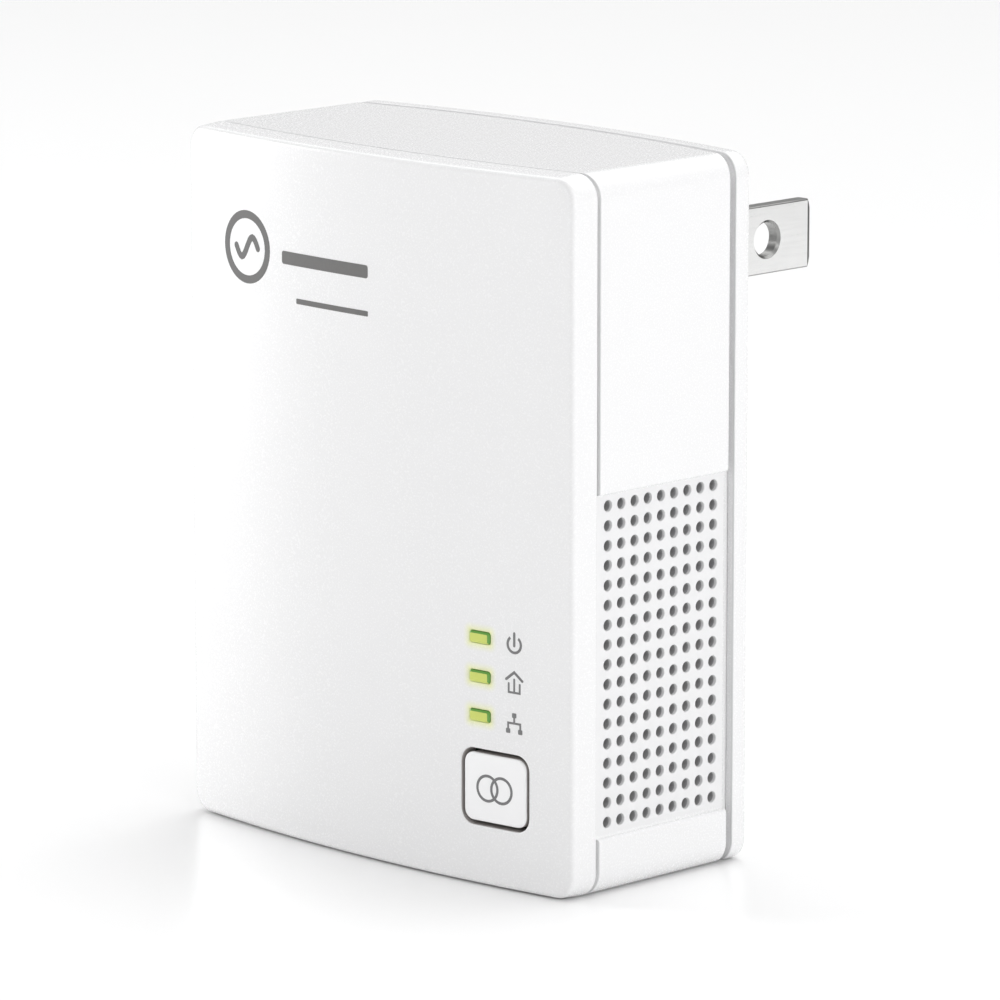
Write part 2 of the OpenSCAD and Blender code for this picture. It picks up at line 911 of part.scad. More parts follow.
module output_capacitor() {
    color("midnightblue") at_body() rod_y(17.5, -2, 3.2, power_front_y - 10, power_front_y);
}

coupling_x = 15.5;
coupling_z = -11;
coupling_y = power_front_y - 4.1;

module coupling_core() {
    color("dimgray") at_body() translate([coupling_x, coupling_y, coupling_z]) {
        cube([3, 7.8, 3], center = true);
        for (s = [-1, 1]) translate([0, s * 3.4, 0]) cube([9, 1.4, 7], center = true);
    }
}

module coupling_winding() {
    color("chocolate") at_body() translate([coupling_x, coupling_y, coupling_z]) difference() {
        cube([7, 5.2, 6], center = true);
        cube([3 + 2 * clear, 6, 3 + 2 * clear], center = true);
    }
}

// ---------- nodes ----------

front_cover();
housing();
rear_cover();
plug_base();
rating_label();
live_blade();
neutral_blade();
pair_button();
switch_plunger();
switch_body();
switch_plate();
switch_dome();
light_guide();
light_shield();
indicator_leds();
main_board();
main_board_screws();
insulating_sheet();
power_board();
power_board_screws();
processor();
thermal_pad();
heat_sink();
memory_chip();
flash_chip();
ethernet_chip();
line_driver_chip();
crystal();
lan_transformer();
chip_capacitors();
jack_insulator();
jack_shield();
jack_contacts();
header_pins();
header_base();
header_socket();
fuse();
varistor();
x_capacitor();
choke_core();
choke_winding();
bridge_rectifier();
bulk_capacitors();
transformer_core();
transformer_bobbin();
transformer_winding();
switching_chip();
optocoupler();
output_capacitor();
y_capacitor();
coupling_core();
coupling_winding();
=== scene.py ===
"""Looks of a plug-in powerline adapter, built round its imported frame.

Shapes are worked out in millimetres in the row frame and scaled to metres when a piece is made.
+X is right seen from the front, +Y points back into the wall, +Z is up.
"""
import json
import math

import bmesh
import bpy
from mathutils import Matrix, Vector, geometry


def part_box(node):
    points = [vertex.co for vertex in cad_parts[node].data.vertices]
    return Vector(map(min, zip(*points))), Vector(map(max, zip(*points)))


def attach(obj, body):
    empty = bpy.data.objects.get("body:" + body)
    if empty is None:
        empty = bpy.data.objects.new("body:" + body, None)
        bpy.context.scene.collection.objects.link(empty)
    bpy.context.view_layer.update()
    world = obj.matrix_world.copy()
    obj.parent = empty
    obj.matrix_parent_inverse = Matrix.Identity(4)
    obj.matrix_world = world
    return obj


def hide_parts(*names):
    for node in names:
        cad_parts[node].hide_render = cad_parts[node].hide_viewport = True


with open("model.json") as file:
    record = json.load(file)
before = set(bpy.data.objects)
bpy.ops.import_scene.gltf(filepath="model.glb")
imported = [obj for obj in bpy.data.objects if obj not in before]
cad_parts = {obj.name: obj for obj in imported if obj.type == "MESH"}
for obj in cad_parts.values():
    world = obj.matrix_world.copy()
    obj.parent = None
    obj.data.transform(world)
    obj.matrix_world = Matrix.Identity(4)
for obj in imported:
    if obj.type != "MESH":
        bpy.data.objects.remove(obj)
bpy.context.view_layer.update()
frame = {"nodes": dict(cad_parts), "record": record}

MM = 0.001


def box_mm(node):
    low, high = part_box(node)
    return low / MM, high / MM


# ---------- sizes, from the frame ----------

case_low, case_high = box_mm("rear_cover")
front_low, _ = box_mm("front_cover")
base_low, _ = box_mm("plug_base")
blade_low, blade_high = box_mm("live_blade")
jack_low, jack_high = box_mm("jack_shield")
button_low, button_high = box_mm("pair_button")
guide_low, guide_high = box_mm("light_guide")
label_low, label_high = box_mm("rating_label")

HALF_W = case_high.x
HALF_H = (case_high.z - case_low.z) / 2
MID_Z = (case_high.z + case_low.z) / 2
CORNER_R = 2.2
WALL = 1.8

# Crowned lines: the depth at the case's sides and how far the middle stands out.
FRONT_CROWN = 2.0
REAR_CROWN = 2.5
FRONT_EDGE = front_low.y + FRONT_CROWN
REAR_EDGE = case_high.y - REAR_CROWN
FRONT_LIP = 2.75
FRONT_DRAFT = 0.2
FRONT_GAP = 0.35
REAR_LIP = 2.25
REAR_GAP = 0.6
FRONT_SEAM = FRONT_EDGE + FRONT_LIP
HOUSING_FRONT = FRONT_SEAM + FRONT_GAP
REAR_SEAM = REAR_EDGE - REAR_LIP
HOUSING_REAR = REAR_SEAM - REAR_GAP
SKIRT = 0.9
SKIRT_CLEAR = 0.05
TONGUE_LEN = 1.2
TONGUE_CLEAR = 0.1
FACE_T = 1.6

# How finely the case's corners and bowed edges are cut up, and its faces' grids, fine and coarse.
ARC_STEPS = 10
FLAT_STEPS = 40
FINE_GRID, COARSE_GRID = (1.15, 2.2), (2.3, 4.4)

# Side recess and its holes, heights from the case's middle.
RECESS = 0.6
RECESS_TOP = 3.9
RECESS_BOTTOM = -27.2
VENT_COLUMNS, VENT_ROWS = 9, 17
VENT_PITCH_Y, VENT_PITCH_Z = 1.69, 1.795
VENT_R = 0.525
VENT_MID_Y = (HOUSING_FRONT + HOUSING_REAR) / 2 + 0.1
VENT_MID_Z = (RECESS_TOP + RECESS_BOTTOM) / 2 + 0.05

# Front controls, heights from the case's middle.
LED_X = (guide_low.x + guide_high.x) / 2
LED_W, LED_H = 2.3, 1.05
LED_CLEAR, LED_OPENING_R = 0.03, 0.28
LED_TOP_Z, LED_PITCH = -9.7, 3.57
BUTTON_W, BUTTON_H, BUTTON_R = 7.0, 6.25, 1.0
BUTTON_X = (button_low.x + button_high.x) / 2
BUTTON_Z = (button_low.z + button_high.z) / 2 - MID_Z
BUTTON_GAP = 0.4


def front_y(edge, x):
    r = (HALF_W ** 2 + FRONT_CROWN ** 2) / (2 * FRONT_CROWN)
    return edge - FRONT_CROWN + r - math.sqrt(r * r - x * x)


def rear_y(edge, x):
    r = (HALF_W ** 2 + REAR_CROWN ** 2) / (2 * REAR_CROWN)
    return edge + REAR_CROWN - r + math.sqrt(r * r - x * x)


def on_front(edge, shift=0.0):
    """Places (x, z) on the front's bowed line for edge, shifted toward the back."""
    return lambda x, z: (x, front_y(edge, x) + shift, z)


def on_rear(edge, shift=0.0):
    """Places (x, z) on the back's bowed line for edge, shifted toward the back."""
    return lambda x, z: (x, rear_y(edge, x) + shift, z)


def on_plane(y):
    return lambda x, z: (x, y, z)


def xz(co):
    return co.x, co.z


def yz(co):
    return co.y, co.z


def xy(co):
    return co.x, co.y


# ---------- mesh tools ----------

def arc(cx, cz, r, start, end, steps):
    """Points on an arc, in degrees, both ends included."""
    return [
        (cx + r * math.cos(math.radians(start + (end - start) * i / steps)),
         cz + r * math.sin(math.radians(start + (end - start) * i / steps)))
        for i in range(steps + 1)
    ]


def along(a, b, steps):
    """Points between a and b, neither end included."""
    return [
        (a[0] + (b[0] - a[0]) * i / steps, a[1] + (b[1] - a[1]) * i / steps)
        for i in range(1, steps)
    ]


def rounded(half_w, half_h, r, cx=0.0, cz=0.0, arc_steps=8, flat_steps=1):
    """A rounded rectangle, anticlockwise from the foot of its right side."""
    w, h = half_w - r, half_h - r
    corners = [
        arc(cx + w, cz + h, r, 0, 90, arc_steps),
        arc(cx - w, cz + h, r, 90, 180, arc_steps),
        arc(cx - w, cz - h, r, 180, 270, arc_steps),
        arc(cx + w, cz - h, r, 270, 360, arc_steps),
    ]
    points = []
    for i, corner in enumerate(corners):
        points += corner
        if i in (0, 2):
            points += along(corner[-1], corners[(i + 1) % 4][0], flat_steps)
    return points


def case_outline(inset=0.0):
    w, h, r = HALF_W - inset, HALF_H - inset, CORNER_R - inset
    return rounded(w, h, r, arc_steps=ARC_STEPS, flat_steps=FLAT_STEPS)


def offset_loop(points, d):
    """Moves a closed anticlockwise loop inward by d."""
    moved = []
    n = len(points)
    for i in range(n):
        a, b, c = (Vector(points[(i + k) % n]) for k in (-1, 0, 1))
        e, f = (b - a).normalized(), (c - b).normalized()
        side = Vector((-e.y - f.y, e.x + f.x)).normalized()
        stretch = max(0.5, side.dot(Vector((-e.y, e.x))))
        moved.append(tuple(b + side * d / stretch))
    return moved


def fillet(r, steps=4):
    """(inset, depth) pairs of a quarter round, from the face's rim to the side."""
    return [
        (r * (1 - math.sin(math.pi / 2 * i / steps)), r * (1 - math.cos(math.pi / 2 * i / steps)))
        for i in range(steps + 1)
    ]


class Shell:
    """A mesh under construction, in millimetres, with heights from the case's middle."""

    def __init__(self):
        self.bm = bmesh.new()
        self.slot = 0

    def face(self, verts):
        made = self.bm.faces.new(verts)
        made.material_index = self.slot

    def ring(self, points, place):
        return [self.bm.verts.new(place(u, v)) for u, v in points]

    def bridge(self, a, b):
        for i in range(len(a)):
            j = (i + 1) % len(a)
            self.face((a[i], a[j], b[j], b[i]))

    def chain(self, rings):
        for a, b in zip(rings, rings[1:]):
            self.bridge(a, b)

    def fill(self, outer, holes, flat, place, inner=()):
        """Triangles between an outer loop and convex hole loops, with extra points at inner."""
        loops = [outer] + list(holes)
        verts = [v for loop in loops for v in loop]
        owner = [k for k, loop in enumerate(loops) for _ in loop]
        edges = []
        start = 0
        for loop in loops:
            n = len(loop)
            edges += [(start + i, start + (i + 1) % n) for i in range(n)]
            start += n
        coords = [Vector(flat(v.co)) for v in verts] + [Vector(p) for p in inner]
        made = [self.bm.verts.new(place(*p)) for p in inner]
        verts += made
        owner += [-1] * len(made)
        _, _, tris, orig, _, _ = geometry.delaunay_2d_cdt(coords, edges, [], 1, 1e-7)
        for tri in tris:
            ids = [orig[i][0] for i in tri]
            first = owner[ids[0]]
            if first > 0 and all(owner[i] == first for i in ids):
                continue
            self.face([verts[i] for i in ids])

    def piece(self, name, mats, smooth=35.0):
        """The finished Blender object; edges sharper than smooth degrees stay crisp."""
        bm = self.bm
        loose = [v for v in bm.verts if not v.link_faces]
        bmesh.ops.delete(bm, geom=loose, context="VERTS")
        bmesh.ops.recalc_face_normals(bm, faces=bm.faces)
        for v in bm.verts:
            v.co = Vector((v.co.x, v.co.y, v.co.z + MID_Z)) * MM
        for e in bm.edges:
            e.smooth = len(e.link_faces) == 2 and e.calc_face_angle(0.0) < math.radians(smooth)
        for f in bm.faces:
            f.smooth = True
        mesh = bpy.data.meshes.new(name)
        bm.to_mesh(mesh)
        bm.free()
        obj = bpy.data.objects.new(name, mesh)
        bpy.context.scene.collection.objects.link(obj)
        for m in mats:
            mesh.materials.append(m)
        weighted = obj.modifiers.new("weighted_normals", "WEIGHTED_NORMAL")
        weighted.keep_sharp = True
        weighted.weight = 80
        return obj


def grid_points(x0, x1, z0, z1, step_x, step_z, keep):
    """Points of a grid inside a box for which keep is true."""
    nx, nz = int((x1 - x0) / step_x), int((z1 - z0) / step_z)
    return [
        (x0 + (x1 - x0) * i / nx, z0 + (z1 - z0) * j / nz)
        for i in range(nx + 1) for j in range(nz + 1)
        if keep(x0 + (x1 - x0) * i / nx, z0 + (z1 - z0) * j / nz)
    ]


def outside(rects):
    """True outside every (centre x, centre z, half width, half height)."""
    return lambda x, z: all(abs(x - cx) > w or abs(z - cz) > h for cx, cz, w, h in rects)


def case_grid(rim, steps, blocks, clear_corners=False):
    """Grid points over the case's face, rim in from its edge and outside the blocks."""
    free = outside(blocks)

    def keep(x, z):
        in_corner = abs(x) >= HALF_W - CORNER_R and abs(z) >= HALF_H - CORNER_R
        return free(x, z) and not (clear_corners and in_corner)

    return grid_points(-HALF_W + rim, HALF_W - rim, -HALF_H + rim, HALF_H - rim, *steps, keep)


# ---------- materials ----------


class Look:
    """A node material with a Principled shader and a few short ways to vary it."""

    def __init__(self, name, colour, rough, **sockets):
        self.mat = bpy.data.materials.new(name)
        self.mat.use_nodes = True
        self.nodes = self.mat.node_tree.nodes
        self.links = self.mat.node_tree.links
        self.bsdf = self.nodes["Principled BSDF"]
        self.bsdf.inputs["Base Color"].default_value = (*colour, 1)
        self.bsdf.inputs["Roughness"].default_value = rough
        for key, value in sockets.items():
            self.bsdf.inputs[key.replace("_", " ")].default_value = value
        self.colour = colour
        self.coords = self.nodes.new("ShaderNodeTexCoord")
        self.height = None

    def add(self, kind, **settings):
        node = self.nodes.new(kind)
        for key, value in settings.items():
            setattr(node, key, value)
        return node

    def noise(self, scale, detail=3.0, rough=0.6, stretch=(1, 1, 1)):
        mapping = self.add("ShaderNodeMapping")
        mapping.inputs["Scale"].default_value = stretch
        self.links.new(self.coords.outputs["Object"], mapping.inputs["Vector"])
        node = self.add("ShaderNodeTexNoise")
        node.inputs["Scale"].default_value = scale
        node.inputs["Detail"].default_value = detail
        node.inputs["Roughness"].default_value = rough
        self.links.new(mapping.outputs["Vector"], node.inputs["Vector"])
        return node.outputs["Fac"]

    def span(self, source, low, high, start=0.3, end=0.7):
        """source from start to end, mapped to low to high."""
        node = self.add("ShaderNodeMapRange")
        node.inputs["From Min"].default_value = start
        node.inputs["From Max"].default_value = end
        node.inputs["To Min"].default_value = low
        node.inputs["To Max"].default_value = high
        self.links.new(source, node.inputs["Value"])
        return node.outputs["Result"]

    def math(self, operation, a, b=None):
        node = self.add("ShaderNodeMath", operation=operation)
        for socket, value in zip(node.inputs, (a, b)):
            if value is None:
                continue
            if isinstance(value, (int, float)):
                socket.default_value = value
            else:
                self.links.new(value, socket)
        return node.outputs["Value"]

    def vary_rough(self, source, low, high):
        self.links.new(self.span(source, low, high), self.bsdf.inputs["Roughness"])

    def mix(self, fac, a, b):
        node = self.add("ShaderNodeMix", data_type="RGBA")
        self.links.new(fac, node.inputs["Factor"])
        for socket, value in ((node.inputs[6], a), (node.inputs[7], b)):
            if isinstance(value, tuple):
                socket.default_value = (*value, 1)
            else:
                self.links.new(value, socket)
        return node.outputs[2]

    def vary_colour(self, source, other):
        self.shade = self.mix(self.span(source, 0, 1), self.colour, other)
        self.links.new(self.shade, self.bsdf.inputs["Base Color"])

    def bump(self, source, distance):
        node = self.add("ShaderNodeBump")
        node.inputs["Strength"].default_value = 1.0
        node.inputs["Distance"].default_value = distance
        self.links.new(source, node.inputs["Height"])
        if self.height is not None:
            self.links.new(self.height, node.inputs["Normal"])
        self.height = node.outputs["Normal"]
        self.links.new(self.height, self.bsdf.inputs["Normal"])


def moulded(name, colour, rough, grain=2e-7, **sockets):
    """Moulded plastic: a fine spark-eroded grain in height and gloss and a trace of colour in it."""
    look = Look(name, colour, rough, **sockets)
    shade, gloss = 0.997, 0.01
    look.vary_rough(look.noise(6000, 2), rough - gloss, rough + gloss)
    look.vary_colour(look.noise(3500, 2), tuple(c * shade for c in colour))
    look.bump(look.noise(7000, 2, 0.5), grain)
    return look


def metal(name, colour, rough, stretch):
    """Drawn or rolled metal with fine lines along the axis that stretch makes long."""
    look = Look(name, colour, rough, Metallic=1.0)
    streak = 2.5e-7
    lines = look.noise(2500, 3, 0.6, stretch)
    look.vary_rough(lines, rough - 0.06, rough + 0.1)
    look.vary_colour(look.noise(300, 3), tuple(c * 0.95 for c in colour))
    look.bump(lines, streak)
    return look


def speckled(name, colour, other, rough, scale, depth):
    look = Look(name, colour, rough)
    grain = look.noise(scale, 4)
    look.vary_rough(grain, rough - 0.08, rough + 0.1)
    look.vary_colour(grain, other)
    look.bump(grain, depth)
    return look


WHITE = (0.77, 0.77, 0.775)
white = moulded("white_plastic", WHITE, 0.27, IOR=1.55)
# The vent recess's floor and hole mouths: a rougher grain, and painted shade, a plastic a little darker
# than the flush side.
vent_field_painted_shade = moulded("vent_field_painted_shade_plastic", (0.73, 0.73, 0.735), 0.5, grain=1.5e-6)
# The vent holes' walls below a set depth: painted shade, a much darker plastic.
vent_hole_painted_shade = moulded("vent_hole_painted_shade_plastic", (0.42, 0.42, 0.425), 0.5)
# Painted shade in the seam grooves: a grey plastic on the fillets beside the gaps between the covers and
# the housing.
seam_painted_shade = moulded("seam_painted_shade_plastic", (0.6, 0.6, 0.605), 0.5)
plug_white = moulded("plug_plastic", (0.77, 0.77, 0.77), 0.42, grain=1e-6)
button_white = moulded("button_plastic", (0.86, 0.86, 0.865), 0.26)
# Painted shade in the gap round the button: a dark grey speckled plastic on the opening's walls and the
# button's sides and flange.
button_gap_painted_shade = speckled("button_gap_painted_shade", (0.4, 0.375, 0.365), (0.44, 0.415, 0.405), 0.6, 3000, 1e-6)
nickel = metal("nickel_plate", (0.87, 0.87, 0.865), 0.2, (1, 0.06, 1))
# Painted shade on the blades' rounded edges and hole walls: a dark nickel, darker than the faces.
blade_edge_painted_shade = metal("blade_edge_painted_shade_nickel", (0.3, 0.3, 0.295), 0.3, (0.06, 1, 1))
# Painted shade on the blades' thinned tips: a near-black nickel.
tip_painted_shade = metal("tip_painted_shade_nickel", (0.1, 0.1, 0.1), 0.3, (1, 1, 0.06))
ink = speckled("grey_ink", (0.15, 0.15, 0.152), (0.17, 0.17, 0.172), 0.55, 4000, 4e-7)
dark_ink = speckled("dark_ink", (0.1, 0.098, 0.096), (0.12, 0.118, 0.116), 0.55, 4000, 4e-7)


def lit(name, colour, glow, strength, rough, ripple):
    """Clear plastic with light behind it."""
    look = Look(name, colour, rough)
    look.bsdf.inputs["Emission Color"].default_value = (*glow, 1)
    look.bsdf.inputs["Emission Strength"].default_value = strength
    look.bump(look.noise(2500, 2), ripple)
    return look


lit_core = lit("lit_window", (0.42, 0.48, 0.1), (0.62, 0.64, 0.14), 0.22, 0.25, 3e-6)
# Painted shade on the windows' chamfers above and at the right and on their sides: a darker green that
# glows less.
lit_rim_painted_shade = lit("lit_window_rim_painted_shade", (0.1, 0.27, 0.05), (0.12, 0.26, 0.03), 0.12, 0.2, 2e-6)

# The painted glow's colour at a lit window, and how far and how steeply the painted glow fades from it.
PAINTED_GLOW = (0.76, 0.78, 0.38)
GLOW_REACH, GLOW_FALL = 0.85, 1.6


def painted_glow_white():
    """The cover's plastic with painted glow: its colour tinted pale yellow-green for a short way round each
    lit window, standing in for light shining through.
    """
    look = moulded("front_plastic_painted_glow", WHITE, 0.27, IOR=1.55)
    split = look.add("ShaderNodeSeparateXYZ")
    look.links.new(look.coords.outputs["Object"], split.inputs["Vector"])
    middle = (LED_TOP_Z - LED_PITCH + MID_Z) * MM
    step = look.math("DIVIDE", look.math("SUBTRACT", split.outputs["Z"], middle), LED_PITCH * MM)
    near = look.math("ROUND", look.math("MAXIMUM", look.math("MINIMUM", step, 1.0), -1.0))
    dz = look.math("MULTIPLY", look.math("ABSOLUTE", look.math("SUBTRACT", step, near)), LED_PITCH)
    dx = look.math("ABSOLUTE", look.math("SUBTRACT", look.math("DIVIDE", split.outputs["X"], MM), LED_X))
    out_x = look.math("MAXIMUM", look.math("SUBTRACT", dx, LED_W / 2), 0.0)
    out_z = look.math("MAXIMUM", look.math("SUBTRACT", dz, LED_H / 2), 0.0)
    square = look.math("ADD", look.math("MULTIPLY", out_x, out_x), look.math("MULTIPLY", out_z, out_z))
    away = look.math("SQRT", square)
    glow = look.math("POWER", look.span(away, 1.0, 0.0, 0.0, GLOW_REACH), GLOW_FALL)
    # Painted glow: the base colour mixed toward the glow colour near each window.
    look.links.new(look.mix(glow, look.shade, PAINTED_GLOW), look.bsdf.inputs["Base Color"])
    return look


front_white_painted_glow = painted_glow_white()

# ---------- front cover ----------


def led_centres():
    return [(LED_X, LED_TOP_Z - i * LED_PITCH) for i in range(3)]


def build_front_cover():
    shell = Shell()
    edge_r, seam_r, mouth_r, block_margin = 0.45, 0.12, 0.1, 0.5
    plain, gap_shade = 0, 1

    rings = [
        shell.ring(case_outline(i + FRONT_DRAFT * (1 - d / FRONT_LIP)), on_front(FRONT_EDGE, d))
        for i, d in fillet(edge_r, 5)
    ]
    face_rim = rings[0]
    rings += [shell.ring(case_outline(i), on_front(FRONT_SEAM, -d)) for i, d in reversed(fillet(seam_r, 3))]
    tongue_end = on_front(FRONT_SEAM, -TONGUE_LEN - TONGUE_CLEAR)
    rings.append(shell.ring(case_outline(SKIRT), on_front(FRONT_SEAM)))
    rings.append(shell.ring(case_outline(SKIRT), tongue_end))
    rings.append(shell.ring(case_outline(WALL), tongue_end))
    rings.append(shell.ring(case_outline(WALL), on_front(FRONT_EDGE + FACE_T)))
    shell.chain(rings)

    half_w, half_h = LED_W / 2 + LED_CLEAR, LED_H / 2 + LED_CLEAR
    openings = [(x, z, half_w, half_h, LED_OPENING_R, plain) for x, z in led_centres()]
    half_w, half_h = BUTTON_W / 2 + BUTTON_GAP, BUTTON_H / 2 + BUTTON_GAP
    openings.append((BUTTON_X, BUTTON_Z, half_w, half_h, BUTTON_R + BUTTON_GAP, gap_shade))
    mouths, backs = [], []
    for cx, cz, w, h, r, wall_slot in openings:
        def loop(grow):
            return rounded(w + grow, h + grow, r + grow, cx, cz, arc_steps=7, flat_steps=4)
        walls = [shell.ring(loop(i), on_front(FRONT_EDGE, d)) for i, d in fillet(mouth_r, 3)]
        walls.append(shell.ring(loop(0), on_front(FRONT_EDGE, FACE_T)))
        shell.chain(walls[:-1])
        # The button opening's walls below the mouth get the gap's painted shade.
        shell.slot = wall_slot
        shell.chain(walls[-2:])
        shell.slot = plain
        mouths.append(walls[0])
        backs.append(walls[-1])
    blocks = [(cx, cz, w + block_margin, h + block_margin) for cx, cz, w, h, _, _ in openings]
    inner = case_grid(1.2, FINE_GRID, blocks, clear_corners=True)
    shell.fill(face_rim, mouths, xz, on_front(FRONT_EDGE), inner)
    inner = case_grid(WALL + 1.0, COARSE_GRID, blocks)
    shell.fill(rings[-1], backs, xz, on_front(FRONT_EDGE, FACE_T), inner)
    return shell.piece("front_shell", [front_white_painted_glow.mat, button_gap_painted_shade.mat])


# ---------- housing ----------


def notched_outline():
    """The housing's outline with a step in each side, and the spans of points that build_housing fills."""
    r_out, r_in = 0.3, 0.25
    x_out, x_in = HALF_W, HALF_W - RECESS
    z_lines = [VENT_MID_Z + (j - VENT_ROWS / 2) * VENT_PITCH_Z for j in range(VENT_ROWS + 1)]
    side = [(x_out, -HALF_H + CORNER_R)]
    side += arc(x_out - r_out, RECESS_BOTTOM - r_out, r_out, 0, 90, 4)
    floor = arc(x_in + r_in, RECESS_BOTTOM + r_in, r_in, 270, 180, 4)
    first = len(side) + len(floor) - 1
    side += floor
    side += [(x_in, z) for z in z_lines if RECESS_BOTTOM + 2 * r_in < z < RECESS_TOP - 2 * r_in]
    last = len(side)
    side += arc(x_in + r_in, RECESS_TOP - r_in, r_in, 180, 90, 4)
    side += arc(x_out - r_out, RECESS_TOP + r_out, r_out, 270, 360, 4)
    top = arc(HALF_W - CORNER_R, HALF_H - CORNER_R, CORNER_R, 0, 90, ARC_STEPS)
    flat = along((HALF_W - CORNER_R, HALF_H), (-HALF_W + CORNER_R, HALF_H), FLAT_STEPS)
    left = [(-x, z) for x, z in reversed(side)]
    upper_left = [(-x, z) for x, z in reversed(top)]
    low_left = arc(-HALF_W + CORNER_R, -HALF_H + CORNER_R, CORNER_R, 180, 270, ARC_STEPS)
    low_flat = along((-HALF_W + CORNER_R, -HALF_H), (HALF_W - CORNER_R, -HALF_H), FLAT_STEPS)
    low_right = [(-x, z) for x, z in reversed(low_left)]
    points = side + top + flat + upper_left + left + low_left[1:] + low_flat + low_right[:-1]
    left_start = len(side) + len(top) + len(flat) + len(upper_left)
    bottom_start = left_start + len(left) + len(low_left) - 2
    spans = {
        "right": (first, last),
        "left": (left_start + len(side) - 1 - last, left_start + len(side) - 1 - first),
        "bottom": (bottom_start, bottom_start + len(low_flat) + 1),
    }
    return points, spans


def vent_centres():
    return [
        (VENT_MID_Y + (i - (VENT_COLUMNS - 1) / 2) * VENT_PITCH_Y,
         VENT_MID_Z + (j - (VENT_ROWS - 1) / 2) * VENT_PITCH_Z)
        for i in range(VENT_COLUMNS) for j in range(VENT_ROWS)
    ]


def circle(cx, cz, r, steps=16):
    return arc(cx, cz, r, 0, 360 - 360 / steps, steps - 1)


def build_housing():
    shell = Shell()
    outline, spans = notched_outline()
    front_r, rear_r, hole_r, shade_start_depth = 0.15, 0.25, 0.05, 0.35
    plain, field_shade, deep_shade, seam_shade = range(4)

    def front_at(shift=0.0):
        return on_front(HOUSING_FRONT, shift)

    def rear_at(shift=0.0):
        return on_rear(HOUSING_REAR, shift)

    front_rings = [shell.ring(offset_loop(outline, i), front_at(d)) for i, d in fillet(front_r, 3)]
    rear_rings = [shell.ring(offset_loop(outline, i), rear_at(-d)) for i, d in reversed(fillet(rear_r, 4))]
    shell.chain(front_rings[2:])
    shell.chain(rear_rings)
    # The housing's front fillet at the seam: painted shade in the groove.
    shell.slot = seam_shade
    shell.chain(front_rings[:3])
    shell.slot = plain
    a, b = front_rings[-1], rear_rings[0]
    n = len(a)
    cut = {i for first, last in spans.values() for i in range(first, last)}
    for i in range(n):
        if i not in cut:
            j = (i + 1) % n
            shell.face((a[i], a[j], b[j], b[i]))

    tongue_loop, inner_loop = case_outline(SKIRT + SKIRT_CLEAR), case_outline(WALL)
    tongue_end, tail_end = front_at(-FRONT_GAP - TONGUE_LEN), rear_at(REAR_GAP + TONGUE_LEN)
    tongue = [
        shell.ring(tongue_loop, front_at()),
        shell.ring(tongue_loop, tongue_end),
        shell.ring(inner_loop, tongue_end),
    ]
    tail = [
        shell.ring(inner_loop, tail_end),
        shell.ring(tongue_loop, tail_end),
        shell.ring(tongue_loop, rear_at()),
    ]
    shell.chain(tongue)
    shell.chain(tail)
    shell.fill(front_rings[0], [tongue[0]], xz, front_at())
    shell.fill(rear_rings[-1], [tail[-1]], xz, rear_at())

    # Inner wall: straight strips, with the flat sides and the floor filled round their openings.
    p, q = tongue[-1], tail[0]
    m = len(p)
    right_side = m - 1
    left_side = (ARC_STEPS + 1) + (FLAT_STEPS - 1) + ARC_STEPS
    bottom_first = left_side + 1 + ARC_STEPS
    inner_cut = {right_side, left_side} | set(range(bottom_first, bottom_first + FLAT_STEPS))
    for i in range(m):
        if i not in inner_cut:
            j = (i + 1) % m
            shell.face((p[i], p[j], q[j], q[i]))

    for sign, name, at_index in ((1, "right", right_side), (-1, "left", left_side)):
        x_out, x_in = sign * (HALF_W - RECESS), sign * (HALF_W - WALL)
        mouths, backs = [], []
        for cy, cz in vent_centres():
            walls = [
                shell.ring(circle(cy, cz, VENT_R + i), lambda u, v, d=d: (x_out - sign * d, u, v))
                for i, d in fillet(hole_r, 2)
            ]
            hole = circle(cy, cz, VENT_R)
            walls.append(shell.ring(hole, lambda u, v: (x_out - sign * shade_start_depth, u, v)))
            walls.append(shell.ring(hole, lambda u, v: (x_in, u, v)))
            # Hole mouths: painted shade, the recess floor's darker plastic.
            shell.slot = field_shade
            shell.chain(walls[:-1])
            # Hole walls below that depth: painted shade, a much darker plastic.
            shell.slot = deep_shade
            shell.chain(walls[-2:])
            mouths.append(walls[0])
            backs.append(walls[-1])
        first, last = spans[name]
        # The recess floor: painted shade, a plastic a little darker than the flush side.
        shell.slot = field_shade
        rim = [a[i] for i in range(first, last + 1)] + [b[i] for i in range(last, first - 1, -1)]
        shell.fill(rim, mouths, yz, lambda u, v: (x_out, u, v))
        shell.slot = plain
        i, j = at_index, (at_index + 1) % m
        shell.fill([p[i], p[j], q[j], q[i]], backs, yz, lambda u, v: (x_in, u, v))

    jack_clear, mouth_r = 0.2, 0.15
    half, y0, y1 = jack_high.x + jack_clear, jack_low.y - jack_clear, jack_high.y + jack_clear
    corners = [(half, y1), (-half, y1), (-half, y0), (half, y0)]
    mouth = [
        shell.ring(offset_loop(corners, -i), lambda u, v, d=d: (u, v, -HALF_H + d))
        for i, d in fillet(mouth_r, 3)
    ]
    mouth.append(shell.ring(corners, lambda u, v: (u, v, -HALF_H + WALL)))
    shell.chain(mouth)
    first, last = spans["bottom"]
    rim = [a[i] for i in range(first, last + 1)] + [b[i] for i in range(last, first - 1, -1)]
    shell.fill(rim, [mouth[0]], xy, lambda u, v: (u, v, -HALF_H))
    last_in = bottom_first + FLAT_STEPS
    rim = [p[i] for i in range(bottom_first, last_in + 1)]
    rim += [q[i] for i in range(last_in, bottom_first - 1, -1)]
    shell.fill(rim, [mouth[-1]], xy, lambda u, v: (u, v, -HALF_H + WALL))
    return shell.piece("housing_shell", [white.mat, vent_field_painted_shade.mat, vent_hole_painted_shade.mat, seam_painted_shade.mat])


# ---------- rear cover and plug ----------

